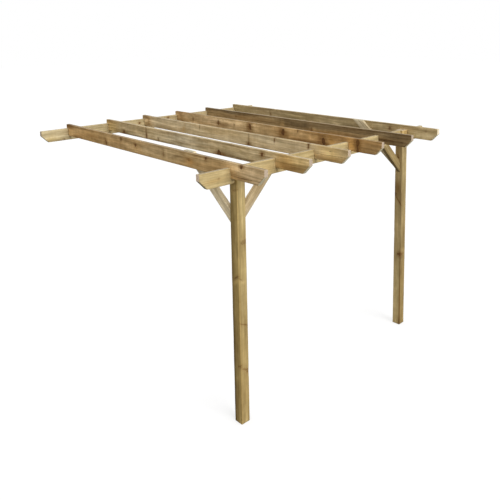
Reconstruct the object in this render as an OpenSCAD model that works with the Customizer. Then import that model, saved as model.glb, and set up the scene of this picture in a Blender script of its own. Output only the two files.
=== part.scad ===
// Lean-to pergola in sawn timber: two posts, a front beam, a wall beam, six level rafters
// and four braces. The wall beam's back face lies in the plane y = 0 with the origin at the
// middle of that face. The front is towards -y, and +z is up.

/* [Timber] */
// Height of the rafters and beams
board_h = 140; // [115:1:160]
// Thickness of the rafters and beams
board_t = 42; // [34:1:50]
// Width of the square posts
post_w = 95; // [80:1:120]
// Depth of the braces
brace_h = 90; // [70:1:110]
// Thickness of the braces
brace_t = 42; // [30:1:50]
// Bevel along the long edges of every piece
arris = 2.5; // [1:0.5:4]

/* [Layout] */
// Ground to the top of the rafters
top_h = 2420; // [2100:10:2700]
// Wall to the middle of the front beam
beam_span = 3107; // [2400:1:3800]
// Spacing of the rafters, middle to middle
rafter_pitch = 525; // [420:5:650]
// Rafter tip past the middle of the front beam
rafter_overhang = 440; // [250:1:600]
// Beam end past the outer face of the end rafters
beam_overhang = 325; // [200:1:500]
// Rafter top above the top of the beams
rafter_rise = 48; // [25:1:60]
// Height of the square nose left above the bevel at the tips
nose_h = 58; // [35:1:80]

/* [Braces] */
// Foot of a beam brace below the underside of the beam
beam_brace_drop = 350; // [220:5:450]
// Reach of a beam brace along the beam, from the post
beam_brace_run = 345; // [220:5:450]
// Foot of a rafter brace below the top of the rafter
rafter_brace_drop = 549; // [400:1:650]
// Reach of a rafter brace along the rafter, from the post
rafter_brace_run = 670; // [500:5:800]

/* [Fit] */
// Side clearance in the notches and in the post slots
fit = 0.5; // [0.2:0.1:1]

/* [Hidden] */
rafter_count = 6;
beam_top = board_h / 2;
beam_low = -board_h / 2;
rafter_top = beam_top + rafter_rise;
rafter_low = rafter_top - board_h;
ground = rafter_top - top_h;
// The halving joints share the overlap of rafter and beam equally
notch_seat = (beam_top + rafter_low) / 2;
rafter_len = beam_span + rafter_overhang;
end_rafter_x = (rafter_count - 1) / 2 * rafter_pitch;
// The posts stand against the inner faces of the end rafters
post_face_x = end_rafter_x - board_t / 2;
post_x = post_face_x - post_w / 2;
post_back_y = -beam_span + post_w / 2;
post_h = beam_top - ground;
beam_len = 2 * (end_rafter_x + board_t / 2 + beam_overhang);
wall_beam_y = -board_t / 2;
// Cuts run this far past the faces that they open
past = 5;
beam_tone = "#c3aa6e";
post_tone = "#a88f5c";
rafter_tone = "#b0905f";
brace_tone = "#a5926c";

// Middle of a rafter, counted from 1 at the left
function rafter_x(number) = (number - 1) * rafter_pitch - end_rafter_x;

// Cross-section of a timber with its four edges bevelled, centred on the origin
module section(w, h) {
    polygon([
        [-w / 2 + arris, -h / 2], [w / 2 - arris, -h / 2],
        [w / 2, -h / 2 + arris], [w / 2, h / 2 - arris],
        [w / 2 - arris, h / 2], [-w / 2 + arris, h / 2],
        [-w / 2, h / 2 - arris], [-w / 2, -h / 2 + arris]
    ]);
}

// Timber along +x, starting at the origin
module timber(len, w, h) {
    rotate([90, 0, 90]) linear_extrude(len) section(w, h);
}

// Wedge that bevels the underside of a tip at 45 degrees; the tip faces +x, top edge at z = 0
module tip_cut() {
    cut = board_h - nose_h + 2 * past;
    translate([past, board_t / 2 + past, -nose_h + past])
        rotate([90, 0, 0])
            linear_extrude(board_t + 2 * past)
                polygon([[0, 0], [-cut, -cut], [0, -cut]]);
}

// Beam with both tips bevelled and a notch in its top for every rafter, centred on y
module beam(y) {
    color(beam_tone)
        translate([0, y, 0])
            difference() {
                translate([-beam_len / 2, 0, 0]) timber(beam_len, board_t, board_h);
                for (side = [0, 1])
                    mirror([side, 0, 0])
                        translate([beam_len / 2, 0, beam_top]) tip_cut();
                for (number = [1 : rafter_count])
                    translate([
                        rafter_x(number) - board_t / 2 - fit, -board_t / 2 - past, notch_seat
                    ])
                        cube([board_t + 2 * fit, board_t + 2 * past, board_h]);
            }
}

// Level rafter, square at the wall and bevelled at the front, notched over both beams
module rafter(number) {
    color(rafter_tone)
        translate([rafter_x(number), 0, 0])
            difference() {
                translate([0, 0, rafter_top - board_h / 2])
                    rotate([0, 0, -90]) timber(rafter_len, board_t, board_h);
                translate([0, -rafter_len, rafter_top])
                    rotate([0, 0, -90]) tip_cut();
                for (y = [wall_beam_y, -beam_span])
                    translate([-board_t / 2 - past, y - board_t / 2 - fit, notch_seat - board_h])
                        cube([board_t + 2 * past, board_t + 2 * fit, board_h]);
            }
}

// Post with a slot across its top that holds the front beam; side is -1 or 1
module post(side) {
    color(post_tone)
        translate([side * post_x, -beam_span, 0])
            difference() {
                translate([0, 0, ground]) linear_extrude(post_h) section(post_w, post_w);
                translate([-post_w / 2 - past, -board_t / 2 - fit, beam_low])
                    cube([post_w + 2 * past, board_t + 2 * fit, board_h + past]);
            }
}

// Slanting brace in the x-z plane. Its foot stands on x = 0 and its head is cut at z = 0:
// the lower edge runs from (0, -drop) to (run, 0).
module brace(run, drop) {
    slope = atan2(drop, run);
    intersection() {
        translate([0, 0, -drop])
            rotate([0, -slope, 0])
                translate([-brace_h * 2, 0, brace_h / 2])
                    timber(norm([run, drop]) + brace_h * 4, brace_t, brace_h);
        translate([0, -brace_t, -drop]) cube([run, brace_t * 2, drop]);
    }
}

// Brace from the inner face of a post up to the underside of the front beam
module beam_brace(side) {
    color(brace_tone)
        mirror([side > 0 ? 1 : 0, 0, 0])
            translate([-post_x + post_w / 2, -beam_span, beam_low])
                brace(beam_brace_run, beam_brace_drop);
}

// Brace from the back face of a post up the inner face of an end rafter, level with its top
module rafter_brace(side) {
    color(brace_tone)
        translate([side * (post_face_x - brace_t / 2), post_back_y, rafter_top])
            rotate([0, 0, 90])
                brace(rafter_brace_run, rafter_brace_drop);
}

post(-1);  // left_post
post(1);  // right_post
beam(-beam_span);  // front_beam
beam(wall_beam_y);  // wall_beam
rafter(1);  // rafter_1
rafter(2);  // rafter_2
rafter(3);  // rafter_3
rafter(4);  // rafter_4
rafter(5);  // rafter_5
rafter(6);  // rafter_6
beam_brace(-1);  // left_beam_brace
beam_brace(1);  // right_beam_brace
rafter_brace(-1);  // left_rafter_brace
rafter_brace(1);  // right_rafter_brace
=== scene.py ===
import math
from collections import namedtuple

import bmesh
import bpy
import numpy as np
from mathutils import Matrix, Vector


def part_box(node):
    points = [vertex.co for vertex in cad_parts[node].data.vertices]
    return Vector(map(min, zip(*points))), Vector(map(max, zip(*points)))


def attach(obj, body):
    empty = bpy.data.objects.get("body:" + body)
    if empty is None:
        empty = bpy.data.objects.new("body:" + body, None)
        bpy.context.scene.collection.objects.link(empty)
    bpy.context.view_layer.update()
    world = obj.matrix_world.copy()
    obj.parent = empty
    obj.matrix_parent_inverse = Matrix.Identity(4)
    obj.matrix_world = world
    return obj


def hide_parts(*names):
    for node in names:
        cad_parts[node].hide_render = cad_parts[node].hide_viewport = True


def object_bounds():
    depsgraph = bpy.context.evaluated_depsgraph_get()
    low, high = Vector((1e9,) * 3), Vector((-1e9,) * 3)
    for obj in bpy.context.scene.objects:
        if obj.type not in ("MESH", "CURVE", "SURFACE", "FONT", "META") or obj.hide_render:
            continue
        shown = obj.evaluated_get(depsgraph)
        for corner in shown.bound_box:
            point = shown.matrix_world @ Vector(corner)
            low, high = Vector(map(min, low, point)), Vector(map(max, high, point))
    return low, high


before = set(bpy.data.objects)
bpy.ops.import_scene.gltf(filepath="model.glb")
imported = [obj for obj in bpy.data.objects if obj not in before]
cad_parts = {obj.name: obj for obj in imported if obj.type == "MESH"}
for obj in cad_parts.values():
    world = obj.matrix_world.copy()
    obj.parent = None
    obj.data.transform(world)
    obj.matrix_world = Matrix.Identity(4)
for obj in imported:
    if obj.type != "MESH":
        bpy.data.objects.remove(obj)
cad_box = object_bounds()
scene = bpy.context.scene
scene.view_settings.view_transform = "Standard"

# Camera at the photograph's viewpoint; the picture is a crop, so its optical centre lies off the middle
IMAGE_SIZE = 500.0
OPTICAL_CENTRE = (290.0, 115.0)
FOCAL_LENGTH = 572.495
CAMERA_PLACE = (-4.3235, -6.7984, 1.1829)
CAMERA_YAW = math.radians(45.3006)
CAMERA_PITCH = math.radians(-8.0597)
CAMERA_ROLL = math.radians(-0.5230)
SENSOR_WIDTH = 36.0

# A soft sun from the front right and above, and a sky that is brightest overhead
SUN_STRENGTH = 2.05
SUN_SPREAD = math.radians(40.0)
SUN_HEADING = (-0.04, 0.8, -0.5)
SKY_FOOT = -0.1
SKY_LOW = 0.8
SKY_HIGH = 0.88

# The floor's colour lights the timbers from below; the camera sees a grey with a glow, which reads as white
FLOOR_REACH = 60.0
PAVING = (0.17, 0.16, 0.14)
BACKDROP = (0.35, 0.35, 0.35)
BACKDROP_GLOW = 0.64
WHITE = (1.0, 1.0, 1.0)

# Tints that marks, and patches of painted shade, lay over a timber's own tone
BROWN = (0.48, 0.38, 0.27)
DARK = (0.5, 0.48, 0.45)
PALE = (1.3, 1.32, 1.36)
WARM = (1.0, 0.84, 0.62)
GREY = (1.06, 1.13, 1.3)
GOLD = (1.06, 0.97, 0.7)
OLIVE = (0.78, 0.8, 0.68)
LIGHT = (1.8, 1.75, 1.65)
STAIN = (0.3, 0.23, 0.16)
# Streaks go deeper in the blue than in the red, so dark wood is browner
STREAK_DEPTH = (0.9, 1.0, 1.2)

# Knots, cracks in painted shade, and tones of bleached tops, end grain and sawn tips partly in painted light
KNOT_FLAME = (0.27, 0.135, 0.04)
KNOT_DARK = (0.12, 0.05, 0.014)
KNOT_LIGHT = (0.2, 0.09, 0.025)
KNOT_RIM = (0.06, 0.028, 0.01)
# Near-black inside cracks: painted shade
CRACK_PAINTED_SHADE = (0.025, 0.017, 0.01)
BLEACHED_DARK = (0.38, 0.30, 0.19)
BLEACHED_LIGHT = (0.6, 0.52, 0.4)
END_EARLYWOOD = (0.66, 0.54, 0.42)
END_LATEWOOD = (0.42, 0.29, 0.19)
END_BLOTCH = (0.4, 0.33, 0.23)
# Sawn bevels: paler cut wood, raised further with painted light because they face down
LIT_SAWN_DARK = (0.62, 0.54, 0.36)
LIT_SAWN_PALE = (1.0, 0.92, 0.66)

# Growth rings in metres, and the sawn surface
RING_SPACING = 0.0056
RING_SWELL = 0.02
BUMP_STRENGTH = 0.55
BUMP_HEIGHT = 0.0016
SPECULAR = 0.15
ROUGHNESS = (0.95, 0.78)

# Slicing of the timbers, in metres; the timbers lie far apart in the wood, so no two share a pattern
BOARD_APART = 20.0
CELL_ALONG = 0.012
CELL_ACROSS = 0.009
EDGE_ROW = 0.006
WELD = 1e-5
CUT_SLACK = 1e-6
ON_FACE = 1e-4
ON_LINE = 1e-5
FLAT = math.radians(0.5)
SHARP = math.radians(50.0)
SEED = 100

# In metres: cracks, uneven faces and worn, chipped edges; soft patches of tone; darker rims of side faces
CRACK_WIDTH = 0.005
CRACK_SWAY = 0.006
CRACK_PULL = 0.02
PATCH_DEPTH = 0.012
PATCH_RAGGED = 1.6
SKIN = 0.0004
UNEVEN_DEPTH = 0.0008
WORN_DEPTH = 0.0012
CHIP_DEPTH = 0.005
CHIP_START = 0.78
EDGE_REACH = 0.004
RIM_REACH = 0.011
RIM_END = 0.05
# Metres between a timber's edges in the waves that wear them, so no two wear alike, and the waves' twist
WORN_SHIFT = 3.1
CHIP_SHIFT = 7.7
WAVE_DRIFT = 40.0

# Knots: where they fade out in radii, their share of the radius at the pith, how far they widen and climb,
# how fast the rings round them settle, how close their own rings lie, and how dark their flame is
KNOT_FULL = 2.5
KNOT_END = 4.5
KNOT_CORE = 0.35
KNOT_WIDEST = 1.3
KNOT_CLIMB = 0.25
KNOT_SETTLE = 0.3
KNOT_RINGS = 17.0
FLAME_SHARE = 0.85

# How square to a direction a face has to be to count as facing it, or as an end
FACING = 0.9
END_FACING = 0.6

# Directions along, through and up each kind of timber, and the run and rise of the braces
X = Vector((1.0, 0.0, 0.0))
Y = Vector((0.0, 1.0, 0.0))
Z = Vector((0.0, 0.0, 1.0))
RAFTER = (-Y, X, Z)
BEAM = (X, Y, Z)
POST = (Z, X, Y)
BEAM_BRACE = (345.0, 350.0)
RAFTER_BRACE = (670.0, 549.0)

# Places in the section: half a board's height, its face to the camera, half a post, and the pith of each kind
BOARD_HALF = 0.070
BOARD_FACE = -0.021
POST_HALF = 0.0475
BEHIND = (0.055, 0.012)
POST_HEART = (-0.008, 0.004)

# For each face: the axis out of it, the axis across it, and the sign of the way out; then a post's faces
FACE_AXES = {"-side": (1, 2, -1.0), "+side": (1, 2, 1.0), "-up": (2, 1, -1.0), "+up": (2, 1, 1.0)}
LEFT = "-side"
RIGHT = "+side"
FRONT = "-up"
BACK = "+up"

# How a timber looks: its tone, how much of each mark it has, and how bright its top, ends and tips are
# The tips' brightness, through look.bevel, is partly painted light and shade
Look = namedtuple(
    "Look", "tone warm olive grey stain rings rough uneven heart rim worn top end bevel",
    defaults=(0.2, 0.2, 0.2, 0.3, 0.4, 1.0, 0.5, 0.0, 0.0, 0.4, 0.8, 1.0, 1.0))
# A knot where it breaks the surface: metres along the timber, its place in the section, and its shape there
Knot = namedtuple("Knot", "along side up radius tall lean strength")
# A shrinkage crack: its face, its place across that face, where it starts and stops along it, and its depth
Crack = namedtuple("Crack", "face across start stop depth", defaults=(0.012,))
# A soft change of tone: tint, place along and across, reach both ways, share, face (none for all) and lean
Patch = namedtuple("Patch", "tint along across length width share face lean", defaults=("", 0.0))
# A timber: the directions along it, through it and up it, its slot, look, pith in the section, and marks
Timber = namedtuple("Timber", "axes slot look pith knots cracks patches")


def make_camera():
    lens = bpy.data.cameras.new("camera")
    lens.sensor_width = SENSOR_WIDTH
    lens.lens = FOCAL_LENGTH / IMAGE_SIZE * SENSOR_WIDTH
    lens.shift_x = 0.5 - OPTICAL_CENTRE[0] / IMAGE_SIZE
    lens.shift_y = OPTICAL_CENTRE[1] / IMAGE_SIZE - 0.5
    camera = bpy.data.objects.new("camera", lens)
    heading = Matrix.Rotation(-CAMERA_YAW, 4, "Z")
    tilt = Matrix.Rotation(math.pi / 2 + CAMERA_PITCH, 4, "X")
    roll = Matrix.Rotation(CAMERA_ROLL, 4, "Z")
    camera.matrix_world = Matrix.Translation(CAMERA_PLACE) @ heading @ tilt @ roll
    scene.collection.objects.link(camera)
    scene.camera = camera


class Nodes:
    """Short calls that build a node tree."""

    def __init__(self, tree):
        self.tree = tree
        tree.nodes.clear()

    def add(self, kind, **settings):
        node = self.tree.nodes.new("ShaderNode" + kind)
        for key, value in settings.items():
            setattr(node, key, value)
        return node

    def feed(self, socket, source):
        if isinstance(source, bpy.types.NodeSocket):
            self.tree.links.new(source, socket)
        else:
            socket.default_value = source

    def math(self, operation, *values):
        node = self.add("Math", operation=operation)
        for socket, value in zip(node.inputs, values):
            self.feed(socket, value)
        return node.outputs[0]

    def times(self, first, second):
        return self.math("MULTIPLY", first, second)

    def vector(self, operation, *values):
        node = self.add("VectorMath", operation=operation)
        for socket, value in zip(node.inputs, values):
            self.feed(socket, value)
        return node.outputs["Value" if operation == "LENGTH" else "Vector"]

    def tint(self, tone, tint):
        return self.vector("MULTIPLY", tone, tint)

    def scale(self, tone, amount):
        node = self.add("VectorMath", operation="SCALE")
        self.feed(node.inputs[0], tone)
        self.feed(node.inputs["Scale"], amount)
        return node.outputs[0]

    def split(self, vector):
        node = self.add("SeparateXYZ")
        self.feed(node.inputs[0], vector)
        return tuple(node.outputs)

    def attribute(self, name):
        return self.add("Attribute", attribute_name=name).outputs["Vector"]

    def noise(self, at, stretch, detail=2.0, output="Fac"):
        node = self.add("TexNoise")
        self.feed(node.inputs["Vector"], self.vector("MULTIPLY", at, stretch))
        node.inputs["Scale"].default_value = 1.0
        node.inputs["Detail"].default_value = detail
        return node.outputs[output]

    def sway(self, at, stretch, reach):
        """Smooth random offsets in every direction, as long as reach."""
        noise = self.noise(at, stretch, output="Color")
        return self.vector("MULTIPLY", self.vector("SUBTRACT", noise, (0.5, 0.5, 0.5)), reach)

    def rise(self, value, low, high, bottom=0.0, top=1.0):
        node = self.add("MapRange", interpolation_type="SMOOTHSTEP")
        for socket, source in zip(node.inputs, (value, low, high, bottom, top)):
            self.feed(socket, source)
        return node.outputs[0]

    def mix(self, amount, first, second):
        """A blend of two colours, through the Mix node's sockets for colours."""
        node = self.add("Mix", data_type="RGBA")
        for place, source in ((0, amount), (6, first), (7, second)):
            self.feed(node.inputs[place], source)
        return node.outputs[2]

    def spread(self, *parts):
        """The sum of each part's distance from a half times its weight."""
        total = -sum(0.5 * weight for _, weight in parts)
        for value, weight in parts:
            total = self.math("MULTIPLY_ADD", value, weight, total)
        return total

    def for_camera(self, elsewhere, seen):
        """One shader for light on the timbers, another for what the camera sees, also in a reflection."""
        path = self.add("LightPath")
        reflected = self.math("MAXIMUM", path.outputs["Is Glossy Ray"], path.outputs["Is Transmission Ray"])
        blend = self.add("MixShader")
        self.feed(blend.inputs[0], self.math("MAXIMUM", path.outputs["Is Camera Ray"], reflected))
        self.feed(blend.inputs[1], elsewhere.outputs[0])
        self.feed(blend.inputs[2], seen.outputs[0])
        return blend.outputs[0]


def shade(tone, amount=1.0):
    """A colour for a socket: the tone, made brighter or darker."""
    return (*(min(1.0, part * amount) for part in tone), 1.0)


def make_light():
    key = bpy.data.lights.new("key", "SUN")
    key.energy = SUN_STRENGTH
    key.angle = SUN_SPREAD
    lamp = bpy.data.objects.new("key", key)
    lamp.rotation_euler = Vector(SUN_HEADING).to_track_quat("-Z", "Y").to_euler()
    scene.collection.objects.link(lamp)

    world = bpy.data.worlds.new("sky")
    scene.world = world
    world.use_nodes = True
    n = Nodes(world.node_tree)
    height = n.split(n.add("TexCoord").outputs["Generated"])[2]
    sky = n.add("Background")
    n.feed(sky.inputs["Color"], shade(WHITE))
    n.feed(sky.inputs["Strength"], n.rise(height, SKY_FOOT, 1.0, SKY_LOW, SKY_HIGH))
    white = n.add("Background")
    n.feed(white.inputs["Color"], shade(WHITE))
    n.feed(white.inputs["Strength"], 1.0)
    n.feed(n.add("OutputWorld").inputs[0], n.for_camera(sky, white))


def make_floor():
    """A pale floor that reads as white and keeps a light shadow of the part."""
    ground = cad_box[0].z
    mesh = bpy.data.meshes.new("floor")
    signs = ((-1, -1), (1, -1), (1, 1), (-1, 1))
    mesh.from_pydata([(x * FLOOR_REACH, y * FLOOR_REACH, ground) for x, y in signs], [], [(0, 1, 2, 3)])
    floor = bpy.data.objects.new("floor", mesh)
    scene.collection.objects.link(floor)
    material = bpy.data.materials.new("floor")
    material.use_nodes = True
    n = Nodes(material.node_tree)
    paving = n.add("BsdfDiffuse")
    n.feed(paving.inputs["Color"], shade(PAVING))
    shadowed = n.add("BsdfDiffuse")
    n.feed(shadowed.inputs["Color"], shade(BACKDROP))
    glow = n.add("Emission")
    n.feed(glow.inputs["Color"], shade(WHITE))
    n.feed(glow.inputs["Strength"], BACKDROP_GLOW)
    backdrop = n.add("AddShader")
    n.feed(backdrop.inputs[0], shadowed.outputs[0])
    n.feed(backdrop.inputs[1], glow.outputs[0])
    n.feed(n.add("OutputMaterial").inputs[0], n.for_camera(paving, backdrop))
    mesh.materials.append(material)


def knot_shapes(n, grain):
    """Distance from the knot and from its flame, in radii with uneven outlines, and how much it shows."""
    nearest = n.attribute("knot")
    strength = n.split(nearest)[2]
    ragged = n.sway(grain, (45.0, 70.0, 70.0), (1.3, 1.3, 0.0))
    offset = n.vector("ADD", n.vector("MULTIPLY", nearest, (1.0, 1.0, 0.0)), ragged)
    flame_offset = n.vector("MULTIPLY", offset, (0.5, 1.0, 1.0))
    return n.vector("LENGTH", offset), n.vector("LENGTH", flame_offset), strength


def growth_rings(n, grain, near_knot):
    """The wood round a wandering pith, the distance from it, more near knots, and the dark of each ring."""
    wander = n.sway(grain, (0.9, 1.5, 1.5), (0.0, 0.03, 0.05))
    ripple = n.sway(grain, (5.0, 40.0, 40.0), (0.0, 0.005, 0.005))
    bent = n.vector("ADD", n.vector("ADD", grain, wander), ripple)
    radius = n.vector("LENGTH", n.vector("MULTIPLY", bent, (0.0, 1.0, 1.0)))
    radius = n.math("ADD", radius, n.times(near_knot, RING_SWELL))
    ring = n.math("FRACT", n.math("DIVIDE", radius, RING_SPACING))
    latewood = n.times(n.rise(ring, 0.4, 0.88), n.rise(ring, 0.9, 1.0, 1.0, 0.0))
    return bent, radius, latewood


def timber_material(name, look):
    """Sawn, pressure-treated softwood whose rings, streaks and knots run through the solid timber."""
    material = bpy.data.materials.new(name)
    material.use_nodes = True
    n = Nodes(material.node_tree)
    grain = n.attribute("grain")
    tone = n.attribute("tone")
    end_face, top_face, _ = n.split(n.attribute("faces"))
    crack, worn_edge, rim = n.split(n.attribute("marks"))
    knot_distance, flame_distance, strength = knot_shapes(n, grain)
    near_knot = n.math("EXPONENT", n.times(n.times(knot_distance, knot_distance), -KNOT_SETTLE))
    near_knot = n.times(near_knot, strength)
    bent, radius, latewood = growth_rings(n, grain, near_knot)

    # Streaks along the grain from broad bands to single fibres, and marks of the saw across it
    uneven = n.noise(grain, (2.6, 7.0, 7.0))
    mottle = n.noise(grain, (13.0, 24.0, 24.0), 3.0)
    band = n.noise(bent, (1.3, 15.0, 15.0), 3.0)
    line = n.noise(bent, (1.7, 34.0, 34.0))
    streak = n.noise(bent, (2.0, 62.0, 62.0), 3.0)
    fleck = n.noise(bent, (10.0, 36.0, 36.0), 4.0)
    fibre = n.noise(bent, (16.0, 420.0, 420.0))
    saw = n.noise(grain, (48.0, 7.0, 7.0), 3.0)
    light = n.spread(
        (uneven, look.uneven), (mottle, 0.5 * look.rough), (band, 0.8), (line, 1.3 * look.rough),
        (streak, 0.4 + 0.6 * look.rough), (fleck, 0.6 * look.rough), (fibre, 0.5), (saw, 0.3 * look.rough))
    light = n.math("SUBTRACT", light, n.times(rim, look.rim))

    # Sapwood and heartwood zones, greyed wood, rings and thin stained lines
    warm = n.rise(n.noise(bent, (1.2, 10.0, 12.0), 3.0), 0.45, 0.64)
    body = n.mix(n.times(warm, look.warm), tone, n.tint(tone, WARM))
    olive = n.rise(n.noise(grain, (1.1, 9.0, 11.0), 3.0), 0.42, 0.62)
    body = n.mix(n.times(olive, look.olive), body, n.tint(tone, OLIVE))
    grey = n.rise(n.noise(bent, (1.5, 12.0, 12.0), 4.0), 0.4, 0.62)
    body = n.mix(n.times(grey, look.grey), body, n.tint(tone, GREY))
    late = n.times(latewood, n.math("ADD", 0.45 * look.rings, n.times(near_knot, 0.5)))
    body = n.mix(late, body, n.scale(tone, 0.45))
    heartwood = n.rise(radius, look.heart - 0.008, look.heart + 0.005, 0.6, 0.0)
    body = n.mix(heartwood, body, n.scale(tone, 0.5))
    stain = n.rise(n.noise(bent, (1.6, 80.0, 80.0), 3.0), 0.6, 0.72)
    body = n.mix(n.times(stain, look.stain), body, n.tint(tone, STAIN))
    shades = n.add("CombineXYZ")
    for socket, depth in zip(shades.inputs, STREAK_DEPTH):
        n.feed(socket, n.math("EXPONENT", n.times(light, depth)))
    body = n.tint(body, shades.outputs[0])

    # Knots: a resin-dark flame, and brown wood with rings of its own inside a black rim
    flame = n.times(n.rise(flame_distance, 0.6, 3.0, 1.0, 0.0), n.rise(streak, 0.62, 0.36, 0.35, 1.0))
    body = n.mix(n.times(flame, n.times(strength, FLAME_SHARE)), body, shade(KNOT_FLAME))
    knot_ring = n.rise(n.math("SINE", n.times(knot_distance, KNOT_RINGS)), -1.0, 1.0)
    knot_wood = n.mix(knot_ring, shade(KNOT_DARK), shade(KNOT_LIGHT))
    knot_wood = n.mix(n.rise(knot_distance, 0.6, 0.95, 0.0, 0.7), knot_wood, shade(KNOT_RIM))
    body = n.mix(n.times(n.rise(knot_distance, 0.9, 1.4, 1.0, 0.0), strength), body, knot_wood)

    # Bleached upper edges, pale end grain, bevels with painted light, worn arrises, cracks in painted shade
    blotch = n.noise(grain, (7.0, 30.0, 30.0), 3.0)
    bleached = n.mix(blotch, shade(BLEACHED_DARK, look.top), shade(BLEACHED_LIGHT, look.top))
    body = n.mix(n.times(top_face, n.rise(streak, 0.3, 0.62, 0.4, 0.85)), body, bleached)
    end_grain = n.mix(latewood, shade(END_EARLYWOOD, look.end), shade(END_LATEWOOD, look.end))
    end_grain = n.mix(n.rise(blotch, 0.45, 0.7, 0.0, 0.4), end_grain, shade(END_BLOTCH, look.end))
    # Slanted cuts are sawn wood brightened with painted light; look.bevel dims them to painted shade on beams
    lit_sawn_tip = n.mix(blotch, shade(LIT_SAWN_DARK, look.bevel), shade(LIT_SAWN_PALE, look.bevel))
    end_grain = n.mix(n.rise(end_face, 0.7, 1.0), lit_sawn_tip, end_grain)
    body = n.mix(n.rise(end_face, 0.0, 0.7), body, end_grain)
    worn = n.times(worn_edge, n.rise(fleck, 0.4, 0.65, 0.0, look.worn))
    body = n.mix(worn, body, n.scale(tone, 1.25))
    # Cracks darkened to near-black: painted shade inside them
    body = n.mix(n.rise(crack, 0.1, 0.6, 0.0, 0.95), body, shade(CRACK_PAINTED_SHADE))

    # Sawn surface: raised fibres, saw marks and sunken earlywood
    bump = n.add("Bump")
    n.feed(bump.inputs["Strength"], BUMP_STRENGTH)
    n.feed(bump.inputs["Distance"], BUMP_HEIGHT)
    height = n.spread((fibre, 0.8), (saw, 0.5), (latewood, 0.35), (streak, 0.5), (fleck, 0.4))
    n.feed(bump.inputs["Height"], height)
    surface = n.add("BsdfPrincipled")
    n.feed(surface.inputs["Base Color"], body)
    n.feed(surface.inputs["Roughness"], n.rise(fibre, 0.2, 0.8, *ROUGHNESS))
    n.feed(surface.inputs["Normal"], bump.outputs[0])
    n.feed(surface.inputs["Specular IOR Level"], SPECULAR)
    n.feed(n.add("OutputMaterial").inputs[0], surface.outputs[0])
    return material


def cut(bm, parts, direction, place):
    """Slices the given parts of the mesh across one direction."""
    bmesh.ops.bisect_plane(bm, geom=parts, plane_co=direction * place, plane_no=direction, dist=CUT_SLACK)


def cut_into_cells(bm, direction, places):
    for place in places:
        cut(bm, bm.verts[:] + bm.edges[:] + bm.faces[:], direction, place)


def inner_rows(low, high, cell):
    """Places of even cuts, with the outer ones close to the bevelled edges."""
    return np.linspace(low + EDGE_ROW, high - EDGE_ROW, max(2, round((high - low) / cell)))


def cut_cracks(bm, timber, origin):
    """Three rows of points along every crack, for its two lips and its bottom."""
    for crack in timber.cracks:
        normal_axis, across_axis, sign = FACE_AXES[crack.face]
        normal = timber.axes[normal_axis] * sign
        for lip in (-CRACK_WIDTH / 2, 0.0, CRACK_WIDTH / 2):
            faces = [face for face in bm.faces if face.normal.dot(normal) > FACING]
            edges = {edge for face in faces for edge in face.edges}
            verts = {vert for face in faces for vert in face.verts}
            place = crack.across + lip + origin[across_axis]
            cut(bm, list(verts) + list(edges) + faces, timber.axes[across_axis], place)


def sliced_mesh(node, timber):
    """The CAD node's mesh in small cells, its low end's middle in the timber's axes, and half its size."""
    bm = bmesh.new()
    bm.from_mesh(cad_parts[node].data)
    bmesh.ops.remove_doubles(bm, verts=bm.verts, dist=WELD)
    bmesh.ops.dissolve_limit(bm, angle_limit=FLAT, verts=bm.verts, edges=bm.edges)
    corners = np.array([vert.co for vert in bm.verts]) @ np.array(timber.axes).T
    low, high = corners.min(axis=0), corners.max(axis=0)
    origin = (low + high) / 2
    origin[0] = low[0]
    for axis in (1, 2):
        cut_into_cells(bm, timber.axes[axis], inner_rows(low[axis], high[axis], CELL_ACROSS))
    cut_cracks(bm, timber, origin)
    cut_into_cells(bm, timber.axes[0], inner_rows(low[0], high[0], CELL_ALONG))
    bmesh.ops.triangulate(bm, faces=[face for face in bm.faces if len(face.verts) > 4])
    mesh = bpy.data.meshes.new("sawn_" + node)
    bm.to_mesh(mesh)
    bm.free()
    return mesh, origin, (high - low) / 2


def waves(rng, along, around, count, longest, shortest):
    """Smooth unevenness from 0 to 1 along a timber, made of seeded waves."""
    total = np.zeros_like(along)
    for _ in range(count):
        length = rng.uniform(shortest, longest)
        drift = rng.uniform(-WAVE_DRIFT, WAVE_DRIFT)
        total += np.sin(2 * math.pi * along / length + drift * around + rng.uniform(0, 2 * math.pi))
    return 0.5 + 0.5 * total / count


def knot_offsets(local, timber):
    """For every point, the way from the nearest knot's axis in radii of that knot, and how much it shows."""
    offsets = np.zeros((len(local), 3))
    nearest = np.full(len(local), np.inf)
    for knot in timber.knots:
        ray = np.array((knot.side, knot.up)) - timber.pith
        length = np.linalg.norm(ray)
        ray = ray / length
        section = local[:, 1:] - timber.pith
        outwards = section @ ray
        aside = section @ np.array((-ray[1], ray[0]))
        widening = np.clip(outwards / length, 0.0, KNOT_WIDEST)
        radius = knot.radius * (KNOT_CORE + (1.0 - KNOT_CORE) * widening)
        lift = KNOT_CLIMB * (outwards - length)
        along = local[:, 0] - knot.along - lift - knot.lean * aside
        offset = np.stack([along / radius, aside / (knot.tall * radius)], axis=1)
        distance = np.linalg.norm(offset, axis=1)
        closer = (distance < nearest) & (outwards > 0.0)
        nearest[closer] = distance[closer]
        offsets[closer, :2] = offset[closer]
        fade = np.clip((KNOT_END - distance) / (KNOT_END - KNOT_FULL), 0.0, 1.0)
        offsets[closer, 2] = knot.strength * fade[closer]
    return offsets


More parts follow.
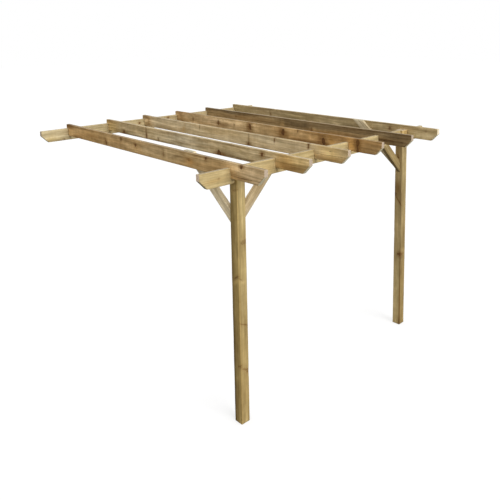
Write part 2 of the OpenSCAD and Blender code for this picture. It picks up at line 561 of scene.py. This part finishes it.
def patched_tones(local, half, timber, rng):
    """The timber's tone at every point, softly changed by each of its patches, a few of them painted shade.
    """
    tones = np.tile(timber.look.tone, (len(local), 1))
    for patch in timber.patches:
        amount = np.full(len(local), patch.share)
        across_axis = 2
        if patch.face:
            normal_axis, across_axis, sign = FACE_AXES[patch.face]
            depth = half[normal_axis] - sign * local[:, normal_axis]
            amount *= np.exp(-((depth / PATCH_DEPTH) ** 2))
        off_across = local[:, across_axis] - patch.across
        off_along = local[:, 0] - patch.along - patch.lean * off_across
        longest = 5.0 * patch.length
        shortest = 1.2 * patch.length
        uneven = waves(rng, local[:, 0], local[:, 2], 4, longest, shortest) - 0.5
        reach = (off_along / patch.length) ** 2 + (off_across / patch.width) ** 2
        amount *= np.exp(-reach * (1.0 + PATCH_RAGGED * uneven))
        tones *= 1.0 + amount[:, None] * (np.array(patch.tint) - 1.0)
    return np.clip(tones, 0.0, 1.0)


def open_cracks(local, half, timber, rng):
    """Sinks the bottom of every crack, bends its path, and returns how far each point is inside a crack."""
    inside = np.zeros(len(local))
    for crack in timber.cracks:
        normal_axis, across_axis, sign = FACE_AXES[crack.face]
        on_face = half[normal_axis] - sign * local[:, normal_axis] < ON_FACE
        along = local[:, 0]
        off = local[:, across_axis] - crack.across
        share = np.clip((along - crack.start) / (crack.stop - crack.start), 0.0, 1.0)
        open_part = np.sqrt(np.sin(math.pi * share)) * on_face
        bottom = open_part * (np.abs(off) < ON_LINE)
        path = CRACK_SWAY * (waves(rng, along, 0.0, count=5, longest=0.9, shortest=0.12) - 0.5)
        local[:, across_axis] += on_face * path * np.exp(-((off / CRACK_PULL) ** 2))
        local[:, normal_axis] -= sign * crack.depth * bottom
        inside = np.maximum(inside, bottom)
    return inside


def roughen(local, half, rng):
    """Moves the surface inwards, as sawing and wear do, and returns how close each point is to edges."""
    along, side, up = local.T
    gap_side = half[1] - np.abs(side)
    gap_up = half[2] - np.abs(up)
    around = side * 1.7 + up
    uneven = UNEVEN_DEPTH * waves(rng, along, around, count=7, longest=0.7, shortest=0.06)
    on_side = gap_side < SKIN
    on_up = gap_up < SKIN
    corner = np.sign(side) + 2 * np.sign(up)
    worn_along = along + WORN_SHIFT * corner
    worn = waves(rng, worn_along, corner, count=6, longest=0.45, shortest=0.05)
    chip_along = along + CHIP_SHIFT * corner
    chipped = waves(rng, chip_along, corner, count=5, longest=0.9, shortest=0.16)
    chipped = np.clip(chipped - CHIP_START, 0.0, 1.0) / (1.0 - CHIP_START)
    edge = np.exp(-(gap_side + gap_up) / EDGE_REACH)
    wear = edge * (WORN_DEPTH * worn + CHIP_DEPTH * chipped)
    local[:, 1] -= np.sign(side) * (np.where(on_side, uneven, 0.0) + wear)
    local[:, 2] -= np.sign(up) * (np.where(on_up, uneven, 0.0) + wear)
    rim = np.exp(-np.minimum(gap_up, RIM_END) / RIM_REACH) * on_side
    return edge, rim


def write_attribute(mesh, name, domain, values):
    layer = mesh.attributes.new(name, "FLOAT_VECTOR", domain)
    layer.data.foreach_set("vector", np.asarray(values, np.float32).ravel())


def write_faces(mesh, along):
    """Marks the faces that are ends, by how square they are to the timber, and those that are tops."""
    normals = np.empty(len(mesh.polygons) * 3)
    mesh.polygons.foreach_get("normal", normals)
    normals = normals.reshape(-1, 3)
    end_face = np.abs(normals @ along)
    end_face = np.where(end_face > END_FACING, end_face, 0.0)
    top_face = (normals[:, 2] > FACING) & (end_face == 0.0)
    write_attribute(mesh, "faces", "FACE", np.stack([end_face, top_face, np.zeros_like(end_face)], axis=1))


def make_timber(index, node, timber):
    """A sawn timber in the place of its CAD node."""
    mesh, origin, half = sliced_mesh(node, timber)
    axes = np.array(timber.axes)
    rng = np.random.default_rng(SEED + index)
    points = np.empty(len(mesh.vertices) * 3)
    mesh.vertices.foreach_get("co", points)
    local = points.reshape(-1, 3) @ axes.T - origin
    write_faces(mesh, axes[0])
    wood = local.copy()
    wood[:, 0] += BOARD_APART * index
    wood[:, 1:] -= timber.pith
    write_attribute(mesh, "grain", "POINT", wood)
    write_attribute(mesh, "knot", "POINT", knot_offsets(local, timber))
    write_attribute(mesh, "tone", "POINT", patched_tones(local, half, timber, rng))
    inside_crack = open_cracks(local, half, timber, rng)
    edge, rim = roughen(local, half, rng)
    write_attribute(mesh, "marks", "POINT", np.stack([inside_crack, edge, rim], axis=1))
    lowest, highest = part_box(node)
    mesh.vertices.foreach_set("co", np.clip((local + origin) @ axes, lowest, highest).ravel())
    mesh.update()
    mesh.shade_smooth()
    mesh.set_sharp_from_angle(angle=SHARP)
    mesh.materials.append(timber_material("wood_" + node, timber.look))

    piece = bpy.data.objects.new("sawn_" + node, mesh)
    scene.collection.objects.link(piece)
    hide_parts(node)
    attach(piece, "root")


def front_knot(height, place, *shape):
    return Knot(height, place, -POST_HALF, *shape)


def left_knot(height, place, *shape):
    return Knot(height, -POST_HALF, place, *shape)


def right_knot(height, place, *shape):
    return Knot(height, POST_HALF, place, *shape)


def back_knot(height, place, *shape):
    return Knot(height, place, POST_HALF, *shape)


def face_knots(places):
    """Knots on a board's face to the camera: along, height above the underside, then the shape."""
    return [Knot(along, BOARD_FACE, height - BOARD_HALF, *shape) for along, height, *shape in places]


def board_patches(places):
    """Patches right through a board: tint, along, height above the underside, reach both ways, share."""
    return [Patch(tint, along, height - BOARD_HALF, *reach) for tint, along, height, *reach in places]


# Marks that each kind of timber has
POST_MARKS = dict(
    warm=0.15, olive=0.2, grey=0.15, stain=0.15, rings=0.35, rough=0.65, uneven=0.8, worn=0.9, heart=0.026)
# The beams' bevel=0.4 darkens their bevels, which face down and aside: painted shade
BEAM_MARKS = dict(
    warm=0.15, olive=0.15, grey=0.2, stain=0.12, rings=0.4, rough=0.6, uneven=0.4, rim=0.05, bevel=0.4)
RAFTER_MARKS = dict(rim=0.4, uneven=1.1)
BRACE_MARKS = dict(warm=0.15, olive=0.2, grey=0.5, stain=0.15, rough=0.7, uneven=0.9, bevel=0.55)


def post(tone, knots, cracks, patches):
    return Timber(POST, "post_timber", Look(tone, **POST_MARKS), POST_HEART, knots, cracks, patches)


def beam(tone, knots, cracks, patches, **marks):
    look = Look(tone, **BEAM_MARKS, **marks)
    return Timber(BEAM, "beam_timber", look, BEHIND, face_knots(knots), cracks, board_patches(patches))


def rafter(tone, knots, cracks, patches, **marks):
    look = Look(tone, **RAFTER_MARKS, **marks)
    return Timber(RAFTER, "rafter_timber", look, BEHIND, face_knots(knots), cracks, board_patches(patches))


def brace(flat, side, slope, tone, patches):
    """A brace that leans over in the flat direction."""
    run, rise = slope
    along = (flat * run + Z * rise).normalized()
    up = (Z * run - flat * rise).normalized()
    return Timber((along, side, up), "brace_timber", Look(tone, **BRACE_MARKS), BEHIND, (), (), patches)


# Every timber by its CAD node: tone, knots, cracks, patches and marks of its own
TIMBERS = {
    "left_post": post(
        (0.428, 0.316, 0.135),
        [
            front_knot(1.70, 0.012, 0.018, 1.6, 0.0, 0.35), front_knot(1.375, -0.03, 0.006, 3.0, -0.7, 0.45),
            front_knot(0.945, 0.0, 0.005, 8.0, -0.5, 0.5), front_knot(0.515, 0.01, 0.005, 8.0, -0.55, 0.5),
            front_knot(0.485, 0.034, 0.009, 1.4, -0.5, 0.55), left_knot(2.17, -0.02, 0.009, 3.0, 0.3, 0.35),
            left_knot(1.385, -0.01, 0.007, 3.0, 0.7, 0.6), left_knot(0.56, -0.03, 0.006, 3.0, 0.5, 0.5),
            right_knot(1.33, 0.01, 0.012, 1.0, 0.0, 0.8), right_knot(0.52, -0.02, 0.012, 1.0, 0.0, 0.8),
            back_knot(0.96, -0.01, 0.013, 1.0, 0.0, 0.8), back_knot(1.74, 0.015, 0.011, 1.0, 0.0, 0.8),
        ],
        [Crack(RIGHT, 0.012, 1.3, 2.0), Crack(BACK, 0.008, 0.9, 1.7)],
        [
            Patch(DARK, 1.2, 0.055, 3.0, 0.055, 0.9, LEFT), Patch(GOLD, 1.2, 0.0, 3.0, 0.2, 0.6, LEFT),
            Patch(DARK, 0.45, 0.052, 1.2, 0.038, 1.25, LEFT),
            Patch(PALE, 1.66, -0.01, 0.22, 0.035, 0.7, LEFT),
            Patch(BROWN, 0.15, 0.04, 0.3, 0.05, 0.45, LEFT), Patch(DARK, 1.64, -0.04, 0.1, 0.015, 0.6, LEFT),
            Patch(PALE, 1.335, 0.0, 0.02, 0.04, 1.2, LEFT, -0.8),
            Patch(PALE, 0.43, 0.01, 0.02, 0.035, 1.2, LEFT, -0.6),
            Patch(PALE, 2.15, 0.0, 0.025, 0.04, 0.8, LEFT, -0.4),
            Patch(PALE, 1.34, 0.0, 0.018, 0.04, 0.8, FRONT, -0.7),
            Patch(BROWN, 0.7, 0.0, 0.2, 0.05, 0.25, LEFT), Patch(DARK, 1.70, 0.02, 0.05, 0.03, 0.45, FRONT),
            # The dark patch at 2.24 on the front, at the post's top under the beam, is painted shade
            Patch(DARK, 0.0, 0.0, 0.9, 0.3, 0.22, FRONT), Patch(DARK, 2.24, 0.0, 0.07, 0.2, 0.5, FRONT),
            Patch(WARM, 0.4, 0.0, 0.5, 0.05, 0.35, FRONT), Patch(PALE, 1.45, 0.0, 0.2, 0.04, 0.2, FRONT),
        ]),
    "right_post": post(
        (0.56, 0.417, 0.192),
        [
            left_knot(1.545, 0.0, 0.008, 5.0, -1.3, 0.7), left_knot(0.885, -0.03, 0.014, 1.6, 0.0, 0.8),
            left_knot(2.05, 0.01, 0.01, 2.0, 0.0, 0.5), right_knot(1.48, -0.01, 0.013, 1.0, 0.0, 0.8),
            front_knot(0.885, -0.035, 0.009, 3.0, 0.0, 0.6), back_knot(1.07, 0.015, 0.013, 1.0, 0.0, 0.8),
            right_knot(0.3, 0.0, 0.012, 1.0, 0.0, 0.8), left_knot(1.615, 0.042, 0.012, 1.4, 0.0, 0.9),
        ],
        [Crack(RIGHT, 0.01, 0.8, 1.6)],
        [
            Patch(BROWN, 1.68, 0.01, 0.12, 0.06, 0.95, LEFT), Patch(PALE, 0.1, 0.0, 0.4, 0.2, 0.5, LEFT),
            Patch(BROWN, 2.16, 0.01, 0.12, 0.05, 0.45, LEFT), Patch(BROWN, 0.0, -0.05, 0.2, 0.03, 1.0, LEFT),
            Patch(DARK, 0.0, 0.0, 3.0, 0.3, 0.9, FRONT), Patch(BROWN, 0.0, -0.05, 0.35, 0.035, 0.5, FRONT),
            Patch(PALE, 0.93, 0.0, 0.025, 0.06, 1.2, FRONT), Patch(GOLD, 0.3, 0.0, 0.7, 0.2, 0.4, FRONT),
            Patch(DARK, 0.87, -0.03, 0.04, 0.03, 0.6, FRONT), Patch(PALE, 0.96, 0.0, 0.03, 0.05, 0.4, LEFT),
            Patch(DARK, 0.88, -0.03, 0.04, 0.03, 0.5, LEFT), Patch(DARK, 1.42, 0.0, 0.2, 0.2, 0.35, LEFT),
            Patch(LIGHT, 2.36, 0.0, 0.1, 0.2, 0.9, FRONT), Patch(BROWN, 0.42, -0.05, 0.35, 0.012, 1.2, LEFT),
            Patch(DARK, 0.7, 0.05, 0.5, 0.03, 0.5, LEFT),
        ]),
    "front_beam": beam(
        (0.58, 0.45, 0.221),
        [(0.2, 0.075, 0.006, 1.0, 0.0, 0.3)],
        [Crack("+side", -0.02, 0.2, 1.0, 0.008)],
        [(WARM, 0.15, 0.06, 0.12, 0.02, 0.5), (WARM, 0.75, 0.05, 0.1, 0.03, 0.4)],
        top=0.66, end=1.3),
    "wall_beam": beam(
        (0.535, 0.427, 0.236),
        [
            (1.30, 0.092, 0.009, 1.6, 0.0, 0.8), (1.75, 0.112, 0.009, 1.5, 0.0, 0.8),
            (0.27, 0.012, 0.007, 1.0, 0.0, 0.6),
        ],
        [],
        [
            (DARK, 0.2, 0.0, 0.15, 0.02, 0.4), (PALE, 1.35, 0.09, 0.03, 0.05, 0.4),
            (GOLD, 0.1, 0.03, 0.1, 0.03, 0.5),
        ],
        end=0.74),
    "rafter_1": rafter(
        (0.545, 0.365, 0.162),
        [
            (1.31, 0.114, 0.011, 1.7, 0.0, 0.9), (1.60, 0.087, 0.011, 1.2, 0.0, 0.9),
            (0.985, 0.035, 0.013, 1.8, 0.3, 0.7), (2.12, 0.070, 0.007, 3.0, 0.0, 0.4),
            (2.53, 0.075, 0.015, 0.8, 0.0, 0.35), (2.79, 0.130, 0.010, 1.6, 0.0, 0.9),
            (3.27, 0.127, 0.012, 1.7, 0.0, 0.95),
        ],
        [Crack("-side", -0.042, 3.15, 3.6)],
        [
            (GREY, 2.1, 0.08, 0.35, 0.09, 0.7), (PALE, 3.38, 0.07, 0.22, 0.12, 0.9),
            (GREY, 3.4, 0.09, 0.28, 0.12, 1.2), (BROWN, 0.06, 0.135, 0.17, 0.05, 0.9),
            (WARM, 2.55, 0.07, 0.07, 0.03, 1.0), (BROWN, 0.28, 0.01, 0.12, 0.03, 0.7),
            (PALE, 1.04, 0.08, 0.03, 0.06, 0.8), (PALE, 2.17, 0.08, 0.025, 0.05, 0.7),
            (BROWN, 0.96, 0.05, 0.025, 0.05, 0.5), (BROWN, 2.1, 0.07, 0.025, 0.06, 0.4),
            (BROWN, 2.79, 0.13, 0.05, 0.02, 0.6), (PALE, 0.35, 0.07, 0.2, 0.03, 0.3),
            (BROWN, 3.3, 0.025, 0.15, 0.012, 0.6), (BROWN, 1.55, 0.02, 0.5, 0.015, 0.3),
            (WARM, 1.62, 0.06, 0.1, 0.04, 0.5), (BROWN, 1.27, 0.07, 0.27, 0.3, 0.42),
            (WARM, 0.6, 0.07, 0.4, 0.3, 0.55), (PALE, 3.17, 0.07, 0.12, 0.2, 0.85),
            (GREY, 3.4, 0.07, 0.2, 0.3, 0.6), (PALE, 0.08, 0.05, 0.12, 0.07, 1.2),
        ],
        warm=0.4, olive=0.1, grey=0.2, top=0.47, end=0.91),
    "rafter_2": rafter(
        (0.646, 0.495, 0.267),
        [
            (0.435, 0.022, 0.014, 1.3, 0.0, 0.9), (0.95, 0.045, 0.009, 3.0, 0.0, 0.85),
            (0.945, 0.105, 0.008, 3.0, 0.0, 0.4), (1.20, 0.030, 0.009, 1.6, 0.0, 0.6),
            (2.31, 0.028, 0.025, 0.8, 0.0, 0.95), (2.95, 0.100, 0.014, 1.2, 0.0, 0.85),
        ],
        [Crack("-side", -0.052, 2.4, 2.95)],
        [
            (GREY, 1.68, 0.08, 0.38, 0.12, 0.95), (PALE, 1.68, 0.08, 0.38, 0.09, 0.3),
            (GOLD, 0.1, 0.07, 0.25, 0.2, 0.8), (WARM, 3.22, 0.05, 0.14, 0.1, 0.7),
            (BROWN, 0.46, 0.012, 0.07, 0.03, 0.9), (BROWN, 2.35, 0.012, 0.09, 0.035, 1.15),
            (BROWN, 2.65, 0.005, 0.28, 0.02, 0.8), (BROWN, 3.35, 0.03, 0.2, 0.03, 0.8),
            (BROWN, 0.1, 0.13, 0.12, 0.04, 0.7), (BROWN, 0.955, 0.06, 0.022, 0.06, 0.5),
            (DARK, 0.75, 0.0, 0.35, 0.02, 0.6), (PALE, 0.45, 0.09, 0.04, 0.05, 0.5),
            (BROWN, 2.95, 0.10, 0.05, 0.03, 0.5), (PALE, 1.8, 0.06, 0.15, 0.1, 0.5),
            (PALE, 2.6, 0.1, 0.2, 0.06, 0.45), (DARK, 0.5, 0.07, 0.25, 0.3, 0.36),
            (GOLD, 3.35, 0.07, 0.25, 0.3, 0.7),
        ],
        warm=0.25, olive=0.15, grey=0.4, end=0.9),
    "rafter_3": rafter(
        (0.72, 0.556, 0.316),
        [
            (2.165, 0.085, 0.007, 7.0, 0.0, 0.4), (2.16, 0.015, 0.014, 1.3, 0.0, 0.7),
            (2.57, 0.120, 0.006, 5.0, 0.0, 0.8), (3.05, 0.120, 0.007, 5.0, 0.0, 0.8),
            (1.28, 0.122, 0.006, 4.0, 0.0, 0.5), (0.15, 0.060, 0.010, 4.0, 0.0, 0.3),
        ],
        [
            Crack("-side", -0.012, 3.12, 3.6, 0.008), Crack("-side", 0.026, 3.2, 3.5, 0.008),
            Crack("-side", 0.004, 1.5, 2.1, 0.008), Crack("-side", 0.006, 2.2, 2.7, 0.008),
        ],
        [
            (GOLD, 3.35, 0.07, 0.2, 0.2, 0.9), (BROWN, 3.35, 0.022, 0.2, 0.018, 0.7),
            (BROWN, 0.08, 0.135, 0.1, 0.04, 0.7), (BROWN, 0.15, 0.05, 0.06, 0.06, 0.3),
            (BROWN, 2.18, 0.015, 0.05, 0.03, 0.8), (WARM, 0.14, 0.06, 0.08, 0.08, 0.6),
            (PALE, 3.28, 0.09, 0.08, 0.03, 0.7), (DARK, 0.65, 0.13, 0.3, 0.015, 0.4),
            (DARK, 0.6, 0.02, 0.25, 0.03, 0.25), (WARM, 0.95, 0.05, 0.03, 0.04, 0.6),
            (PALE, 1.75, 0.07, 0.45, 0.3, 0.48), (DARK, 0.38, 0.07, 0.13, 0.3, 0.33),
            (DARK, 2.42, 0.07, 0.1, 0.3, 0.3),
        ],
        warm=0.3, olive=0.15, grey=0.3, stain=0.2, rough=0.75, top=0.51),
    "rafter_4": rafter(
        (0.60, 0.40, 0.181),
        [
            (0.97, 0.075, 0.018, 1.5, 0.0, 0.8), (1.59, 0.085, 0.020, 1.7, 0.1, 0.9),
            (2.165, 0.085, 0.020, 1.8, -0.1, 0.95), (2.785, 0.060, 0.020, 1.6, 0.1, 0.95),
            (3.25, 0.095, 0.017, 2.0, 0.0, 0.9), (3.25, 0.02, 0.013, 1.8, 0.0, 0.8),
            (1.29, 0.080, 0.008, 1.6, 0.0, 0.6), (0.42, 0.070, 0.008, 2.0, 0.0, 0.6),
            (2.40, 0.125, 0.008, 1.6, 0.0, 0.7),
        ],
        [Crack("-side", -0.03, 3.3, 3.6), Crack("-side", 0.02, 2.85, 3.2)],
        [
            (GREY, 0.8, 0.08, 0.7, 0.12, 0.8), (PALE, 1.4, 0.08, 0.12, 0.06, 0.6),
            (WARM, 3.0, 0.07, 0.6, 0.3, 0.6), (BROWN, 2.9, 0.07, 0.5, 0.2, 0.2),
            (BROWN, 0.15, 0.05, 0.06, 0.09, 0.6), (BROWN, 1.06, 0.05, 0.09, 0.035, 0.8),
            (BROWN, 0.06, 0.135, 0.1, 0.04, 0.6), (BROWN, 1.57, 0.07, 0.05, 0.09, 0.85),
            (BROWN, 2.13, 0.08, 0.07, 0.08, 0.8), (BROWN, 2.75, 0.06, 0.07, 0.08, 0.7),
            (BROWN, 3.24, 0.07, 0.05, 0.1, 0.8), (DARK, 3.42, 0.07, 0.1, 0.07, 0.35),
            (PALE, 1.7, 0.08, 0.05, 0.06, 0.6), (PALE, 0.6, 0.06, 0.25, 0.05, 0.3),
            (PALE, 2.28, 0.07, 0.05, 0.06, 0.6), (BROWN, 2.5, 0.02, 0.25, 0.03, 0.6),
            (DARK, 3.05, 0.1, 0.06, 0.05, 0.6), (GOLD, 2.9, 0.06, 0.05, 0.05, 0.7),
            (GOLD, 3.17, 0.06, 0.03, 0.06, 0.7), (PALE, 2.58, 0.08, 0.03, 0.03, 0.7),
            (BROWN, 0.83, 0.1, 0.06, 0.02, 0.4), (BROWN, 2.2, 0.055, 0.05, 0.03, 0.6),
            (BROWN, 2.81, 0.03, 0.05, 0.03, 0.7), (DARK, 1.9, 0.07, 0.1, 0.2, 0.3),
            (DARK, 0.9, 0.07, 0.12, 0.2, 0.25), (DARK, 2.92, 0.07, 0.08, 0.2, 0.3),
            (PALE, 3.13, 0.07, 0.06, 0.2, 0.8),
        ],
        warm=0.45, olive=0.1, grey=0.15, stain=0.45, top=0.36, end=0.87),
    "rafter_5": rafter(
        (0.43, 0.297, 0.14),
        [(0.7, 0.07, 0.012, 1.0, 0.0, 0.5), (2.13, 0.05, 0.012, 2.0, 0.0, 0.5)],
        [Crack("-side", 0.01, 2.3, 3.1), Crack("-side", -0.025, 3.05, 3.6)],
        [
            (DARK, 2.7, 0.135, 1.2, 0.05, 0.8), (DARK, 1.85, 0.055, 0.16, 0.05, 0.7),
            (LIGHT, 1.63, 0.065, 0.03, 0.045, 0.9), (WARM, 2.4, 0.03, 0.4, 0.03, 0.9),
            (DARK, 3.4, 0.07, 0.25, 0.1, 0.6), (DARK, 0.5, 0.135, 0.7, 0.025, 0.9),
            (DARK, 0.05, 0.13, 0.12, 0.05, 0.4), (WARM, 0.7, 0.06, 0.6, 0.04, 0.6),
            (PALE, 2.18, 0.05, 0.04, 0.03, 0.6), (DARK, 2.02, 0.06, 0.06, 0.06, 0.4),
            (BROWN, 3.2, 0.05, 0.2, 0.012, 0.9), (BROWN, 2.95, 0.02, 0.2, 0.02, 0.7),
            (GREY, 3.2, 0.11, 0.3, 0.03, 0.7), (LIGHT, 2.17, 0.05, 0.04, 0.025, 0.4),
            (DARK, 1.9, 0.07, 0.6, 0.3, 0.33), (GREY, 0.63, 0.07, 0.13, 0.3, 1.0),
        ],
        warm=0.4, olive=0.1, grey=0.2, stain=0.7, top=0.7, end=0.87),
    "rafter_6": rafter(
        (0.485, 0.363, 0.18),
        [
            (2.91, 0.085, 0.011, 1.6, 0.0, 0.6), (3.4, 0.1, 0.008, 1.0, 0.0, 0.35),
            (0.85, 0.05, 0.008, 3.0, 0.0, 0.5),
        ],
        [],
        [
            # The dark patch at 2.25, low on the board beside the brace, is a painted shadow of the brace
            (PALE, 3.35, 0.07, 0.25, 0.15, 0.7), (DARK, 2.25, 0.03, 0.08, 0.05, 0.6),
            (BROWN, 0.85, 0.07, 0.03, 0.06, 0.4), (BROWN, 2.93, 0.08, 0.06, 0.04, 0.4),
            (OLIVE, 3.2, 0.03, 0.1, 0.03, 0.8), (DARK, 0.1, 0.12, 0.15, 0.03, 0.5),
            (BROWN, 0.42, 0.07, 0.02, 0.05, 0.3), (BROWN, 0.68, 0.07, 0.2, 0.3, 0.48),
            (DARK, 1.9, 0.07, 0.12, 0.3, 0.3), (PALE, 3.15, 0.07, 0.12, 0.3, 0.6),
        ],
        warm=0.15, olive=0.35, grey=0.2, end=1.75),
    "left_beam_brace": brace(
        X, Y, BEAM_BRACE, (0.56, 0.42, 0.225),
        [
            Patch(DARK, 0.25, 0.0, 1.0, 0.3, 0.55, "-side"),
            Patch(PALE, 0.25, -0.045, 1.0, 0.03, 1.0, "-side"),
            Patch(GREY, 0.25, -0.045, 1.0, 0.03, 1.3, "-side"),
        ]),
    # Its dark tone and the dark patch on its lower face are painted shade at the far post
    "right_beam_brace": brace(
        -X, Y, BEAM_BRACE, (0.292, 0.205, 0.084),
        [Patch(DARK, 0.25, 0.0, 1.0, 0.3, 0.5, "-up")]),
    "left_rafter_brace": brace(Y, X, RAFTER_BRACE, (0.71, 0.58, 0.36), []),
    # The dark patches at its foot and on its upper face are painted shade from the timbers above
    "right_rafter_brace": brace(
        Y, X, RAFTER_BRACE, (0.78, 0.65, 0.415),
        [Patch(DARK, 0.1, 0.0, 0.25, 0.3, 0.9), Patch(DARK, 0.5, 0.0, 1.0, 0.3, 0.7, "+up")]),
}

make_camera()
make_light()
make_floor()
for index, (node, timber) in enumerate(TIMBERS.items()):
    make_timber(index, node, timber)
